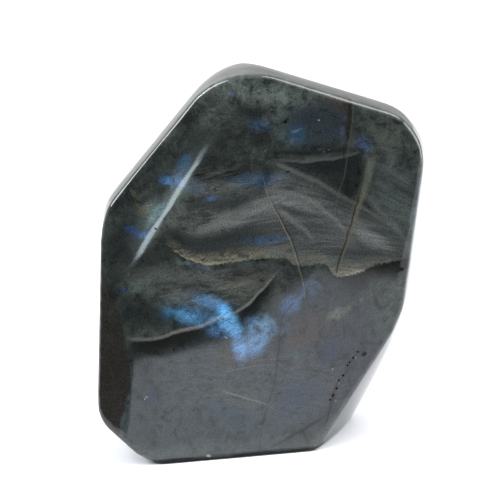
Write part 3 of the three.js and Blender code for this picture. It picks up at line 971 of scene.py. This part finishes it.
@dataclass
class Pits:
    """Small open pits worn into the polished face, sunk as flattened spheres, in millimetres."""

    depth: float = 0.45
    fineness: int = 3

    def sink(self, stone: bpy.types.Object) -> None:
        """Cuts the pits into the stone.

        Args:
            stone: The stone.
        """
        cutters = [self.cutter(pit) for pit in PITS]
        choose(*cutters)
        bpy.ops.object.join()
        cutter = bpy.context.active_object
        choose(stone)
        cut = stone.modifiers.new("Pits", "BOOLEAN")
        cut.operation = "DIFFERENCE"
        cut.object = cutter
        bpy.ops.object.modifier_apply(modifier=cut.name)
        bpy.data.objects.remove(cutter)

    def cutter(self, pit: Pit) -> bpy.types.Object:
        """Makes the flattened sphere that sinks a pit.

        Args:
            pit: The pit.

        Returns:
            The sphere, centred on the show face.
        """
        (x, z), (length, width) = pit.place, pit.size
        y = FACE_FOOT + z * math.tan(math.radians(FACE_LEAN))
        bpy.ops.mesh.primitive_ico_sphere_add(
            subdivisions=self.fineness, radius=MM, location=(x * MM, y * MM, z * MM),
            rotation=(0, -math.radians(pit.turn), 0), scale=(length, self.depth, width),
        )
        return bpy.context.active_object


class Zone(Enum):
    """The stretches of the stone's skin that are worked differently."""

    FACE = "face"
    SIDES = "sides"


@dataclass
class Freeform:
    """The stone itself, refined from a copy of its CAD solid.

    Lengths are in metres, angles in degrees. grain is the size of the net's quads. Smoothing a zone
    leaves the outermost steps_in rings of it crisp.
    """

    stone: bpy.types.Object = field(init=False)
    name: str = "labradorite_freeform"
    merge: float = MM / 1000
    grain: float = 0.68 * MM
    face_spread: float = 13.0
    foot_spread: float = 8.0
    steps_in: dict[Zone, int] = field(default_factory=lambda: {Zone.FACE: 4, Zone.SIDES: 3})
    passes: dict[Zone, int] = field(default_factory=lambda: {Zone.FACE: 14, Zone.SIDES: 50})
    last_passes: int = 7
    foot_level: float = MM / 100
    foot_front: float = -21 * MM
    foot_round: float = 2.0 * MM
    foot_steps: int = 4
    heel_round: float = 5.0 * MM
    heel_height: float = 3.6 * MM
    heel_passes: int = 60
    crease: float = 50.0

    def build(self) -> None:
        """Builds the skin of the stone, at the origin."""
        self.copy_node()
        self.round_foot()
        self.remesh()
        for zone in Zone:
            self.soften(zone)
        self.round_heel()
        self.select(lambda vertex: True)
        self.smooth(self.last_passes)

    def copy_node(self) -> None:
        """Copies the CAD node and merges its loose triangles into one closed mesh."""
        choose(frame["nodes"][NODE])
        bpy.ops.object.duplicate()
        self.stone = bpy.context.active_object
        self.stone.name = self.name
        for key in list(self.stone.keys()):
            del self.stone[key]
        self.stone.parent = None
        mode("EDIT")
        bpy.ops.mesh.select_all(action="SELECT")
        bpy.ops.mesh.remove_doubles(threshold=self.merge)
        mode("OBJECT")

    def round_foot(self) -> None:
        """Rounds the front edge of the foot."""
        mode("EDIT")
        bpy.ops.mesh.select_mode(type="EDGE")
        bpy.ops.mesh.select_all(action="DESELECT")
        mode("OBJECT")
        points = self.stone.data.vertices
        for edge in self.stone.data.edges:
            ends = [points[index].co for index in edge.vertices]
            edge.select = all(end.z < self.foot_level and end.y < self.foot_front for end in ends)
        mode("EDIT")
        bpy.ops.mesh.bevel(offset=self.foot_round, segments=self.foot_steps, affect="EDGES")
        mode("OBJECT")

    def remesh(self) -> None:
        """Turns the merged solid into an even net of small quads."""
        net = self.stone.modifiers.new("Net", "REMESH")
        net.mode = "VOXEL"
        net.voxel_size = self.grain
        bpy.ops.object.modifier_apply(modifier=net.name)

    def select(self, chosen: Callable[[bpy.types.MeshVertex], bool]) -> None:
        """Selects vertices and leaves the stone in edit mode.

        Args:
            chosen: Tells whether a vertex is selected.
        """
        mode("EDIT")
        bpy.ops.mesh.select_mode(type="VERT")
        bpy.ops.mesh.select_all(action="DESELECT")
        mode("OBJECT")
        for vertex in self.stone.data.vertices:
            vertex.select = chosen(vertex)
        mode("EDIT")

    def smooth(self, passes: int) -> None:
        """Smooths the selected vertices and leaves edit mode."""
        bpy.ops.mesh.vertices_smooth(factor=0.5, repeat=passes)
        mode("OBJECT")

    def within(self, zone: Zone, vertex: bpy.types.MeshVertex) -> bool:
        """Tells whether a vertex is in a zone, by the way it faces.

        Args:
            zone: The zone.
            vertex: The vertex.

        Returns:
            Whether it is in the zone. The foot is in none.
        """
        lean = math.radians(FACE_LEAN)
        on_face = vertex.normal.angle((0, -math.cos(lean), math.sin(lean))) < math.radians(self.face_spread)
        on_foot = vertex.normal.angle((0, 0, -1)) < math.radians(self.foot_spread)
        return on_face if zone is Zone.FACE else not (on_face or on_foot)

    def soften(self, zone: Zone) -> None:
        """Smooths a zone's inner vertices and leaves its rim crisp.

        Args:
            zone: The zone.
        """
        self.select(lambda vertex: self.within(zone, vertex))
        for _ in range(self.steps_in[zone]):
            bpy.ops.mesh.select_less()
        self.smooth(self.passes[zone])

    def round_heel(self) -> None:
        """Wears the left edge of the foot round, and the sides, whose faces are still selected, with it."""
        vertices = self.stone.data.vertices
        inner = min(vertex.co.x for vertex in vertices if vertex.co.z < self.grain / 2) + self.heel_round
        for vertex in vertices:
            vertex.select = vertex.co.z < self.heel_height and vertex.co.x < inner
        mode("EDIT")
        self.smooth(self.heel_passes)

    def dress(self, material: bpy.types.Material) -> None:
        """Shades the stone smooth, coats it and lets it stand for the CAD node.

        Args:
            material: Its coat.
        """
        stone = self.stone
        choose(stone)
        bpy.ops.object.shade_smooth_by_angle(angle=math.radians(self.crease))
        stone.data.materials.clear()
        stone.data.materials.append(material)
        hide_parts(NODE)
        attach(stone, "root")


@dataclass(frozen=True)
class Lamp:
    """An area lamp that looks at a point, in metres, watts and degrees; turn is about its own axis."""

    name: str
    place: Place
    size: Point
    power: float
    colour: Colour = (0.92, 0.97, 1.0)
    aim: Place = (0.0, 0.0, 0.0)
    turn: float = 0.0

    def hang(self) -> None:
        """Puts the lamp up."""
        light = bpy.data.lights.new(self.name, "AREA")
        light.shape = "RECTANGLE"
        light.size, light.size_y = self.size
        light.energy = self.power
        light.color = self.colour
        lamp = bpy.data.objects.new(self.name, light)
        bpy.context.scene.collection.objects.link(lamp)
        lamp.location = self.place
        look = (Vector(self.aim) - lamp.location).to_track_quat("-Z", "Y").to_matrix()
        lamp.rotation_euler = (look @ Matrix.Rotation(math.radians(self.turn), 3, "Z")).to_euler()


STRIP_PLACE = (-0.188, -0.60, 0.093)
STRIP_COLOUR = (0.76, 0.93, 1.0)
STRIP_AIM = (-0.02, -0.02, 0.08)

LAMPS = (
    Lamp("side_window", (-0.70, -0.11, 0.59), (0.34, 0.34), 4.4),
    Lamp("right_panel", (0.50, -0.05, 0.17), (0.34, 0.34), 2.3),
    Lamp("crown_panel", (-0.44, -0.20, 0.70), (0.30, 0.30), 3.4),
    Lamp("strip_core", STRIP_PLACE, (0.040, 0.080), 0.092, STRIP_COLOUR, STRIP_AIM, -38),
    Lamp("strip_glow", STRIP_PLACE, (0.085, 0.078), 0.016, STRIP_COLOUR, STRIP_AIM, -38),
)


@dataclass
class Studio:
    """The floor, lights, surroundings and camera.

    Lengths are in metres, except the aim, the lens and the sensor, which are in millimetres; angles
    are in degrees. The floor ends in front of the stone along floor_edge, whose rows are the edge's
    x and y and the x of the same column of the floor at near, beside the stone. The fades of the
    room are its brightness over one direction each, as start, end, low and high.
    """

    aim: Place = (-2.2, 0.0, 59.9)
    azimuth: float = 5.0
    elevation: float = 13.0
    roll: float = 6.8
    distance: float = 0.52
    lens: float = 120.0
    sensor: float = 36.0
    clip: float = 0.01
    overhead_power: float = 2.7
    overhead_spread: float = 42.0
    overhead_way: Place = (-0.52, 0.16, -1.0)
    room_behind: Fade = (-0.6, 0.3, 0.03, 0.74)
    room_left: Fade = (-0.12, 0.06, 1.3, 0.82)
    room_right: Fade = (0.5, 0.8, 0.0, 0.95)
    room_above: Fade = (0.36, 0.72, 0.0, 1.15)
    backdrop: float = 1.05
    near: float = -0.07
    far: float = 6.0
    floor_front: Colour = (0.465, 0.47, 0.495)
    floor_back: Colour = (0.80, 0.80, 0.83)
    floor_change: Point = (-0.06, -0.03)
    floor_roughness: float = 0.9
    floor_shine: float = 0.1
    floor_edge: tuple[Place, ...] = (
        (-3.0, -0.0701, -3.0), (-0.0656, -0.0701, -0.0656), (-0.0769, -0.205, -0.0655), (-0.055, -0.208, -0.055),
        (-0.045, -0.224, -0.045), (-0.0275, -0.231, -0.0275), (-0.0235, -0.26, -0.0235), (-0.0195, -0.315, -0.0195),
        (-0.0155, -0.345, -0.0155), (-0.0085, -0.385, -0.0085), (0.003, -0.405, 0.003), (0.03, -0.40, 0.03),
        (0.045, -0.36, 0.045), (0.08, -0.38, 0.08), (3.0, -0.40, 3.0),
    )

    def build(self) -> None:
        """Sets up everything round the stone."""
        self.floor()
        self.lights()
        self.surroundings()
        self.camera()

    def floor(self) -> None:
        """Lays a plain pale floor that ends in front of the stone and is a little darker there."""
        count = len(self.floor_edge)
        bpy.ops.mesh.primitive_grid_add(x_subdivisions=count - 1, y_subdivisions=2, size=1)
        floor = bpy.context.active_object
        floor.name = "floor"
        for vertex in floor.data.vertices:
            front_x, front_y, near_x = self.floor_edge[round((vertex.co.x + 0.5) * (count - 1))]
            rows = ((front_x, front_y, 0), (near_x, self.near, 0), (near_x, self.far, 0))
            vertex.co = rows[round((vertex.co.y + 0.5) * 2)]
        pale = bpy.data.materials.new("pale_floor")
        pale.use_nodes = True
        sketch = Sketch(pale.node_tree)
        place = sketch.node("SeparateXYZ", {0: sketch.node("TexCoord").outputs["Object"]})
        change = sketch.ramp(place.outputs["Y"], *self.floor_change)
        colour = sketch.blend(change, self.floor_front, self.floor_back)
        inputs = {
            "Base Color": colour, "Roughness": self.floor_roughness, "Specular IOR Level": self.floor_shine,
        }
        sketch.close(sketch.node("BsdfPrincipled", inputs))
        floor.data.materials.append(pale)

    def lights(self) -> None:
        """Hangs a broad soft light overhead, three panels and a narrow strip with a faint glow."""
        light = bpy.data.lights.new("overhead", "SUN")
        light.energy = self.overhead_power
        light.angle = math.radians(self.overhead_spread)
        overhead = bpy.data.objects.new("overhead", light)
        bpy.context.scene.collection.objects.link(overhead)
        overhead.rotation_euler = Vector(self.overhead_way).to_track_quat("-Z", "Y").to_euler()
        for lamp in LAMPS:
            lamp.hang()

    def surroundings(self) -> None:
        """Makes the room: white to the eye, and a grey room with a dark front in reflections."""
        world = bpy.data.worlds.new("room")
        bpy.context.scene.world = world
        world.use_nodes = True
        sketch = Sketch(world.node_tree)
        way = sketch.node("SeparateXYZ", {0: sketch.node("TexCoord").outputs["Generated"]}).outputs
        behind = sketch.product(sketch.ramp(way["Y"], *self.room_behind), sketch.ramp(way["X"], *self.room_left))
        right = sketch.ramp(way["X"], *self.room_right)
        above = sketch.ramp(way["Z"], *self.room_above)
        grey = sketch.math("MAXIMUM", sketch.math("MAXIMUM", behind, right), above)
        room = sketch.node("Background", {"Color": (1, 1, 1), "Strength": grey})
        seen = sketch.node("Background", {"Color": (1, 1, 1), "Strength": self.backdrop})
        eye = sketch.node("LightPath").outputs["Is Camera Ray"]
        sketch.close(sketch.node("MixShader", {0: eye, 1: room.outputs[0], 2: seen.outputs[0]}), "OutputWorld")

    def camera(self) -> None:
        """Places the camera at the viewing angle, with its slight roll."""
        azimuth, elevation, roll = (math.radians(a) for a in (self.azimuth, self.elevation, self.roll))
        level = math.cos(elevation)
        back = Vector((math.sin(azimuth) * level, -math.cos(azimuth) * level, math.sin(elevation)))
        data = bpy.data.cameras.new("camera")
        data.lens = self.lens
        data.sensor_width = self.sensor
        data.clip_start = self.clip
        camera = bpy.data.objects.new("camera", data)
        bpy.context.scene.collection.objects.link(camera)
        camera.location = Vector(self.aim) * MM + back * self.distance
        look = (-back).to_track_quat("-Z", "Y").to_matrix()
        camera.rotation_euler = (look @ Matrix.Rotation(-roll, 3, "Z")).to_euler()
        bpy.context.scene.camera = camera
        bpy.context.scene.view_settings.view_transform = "Standard"


def main() -> None:
    """Builds the stone and its studio."""
    logging.basicConfig(level=logging.INFO)
    freeform = Freeform()
    freeform.build()
    Pits().sink(freeform.stone)
    freeform.dress(Labradorite().make())
    log.info("stone: %d faces and %d pits", len(freeform.stone.data.polygons), len(PITS))
    Studio().build()
    log.info("studio: %d lamps", len(bpy.data.lights))


if __name__ == "__main__":
    main()
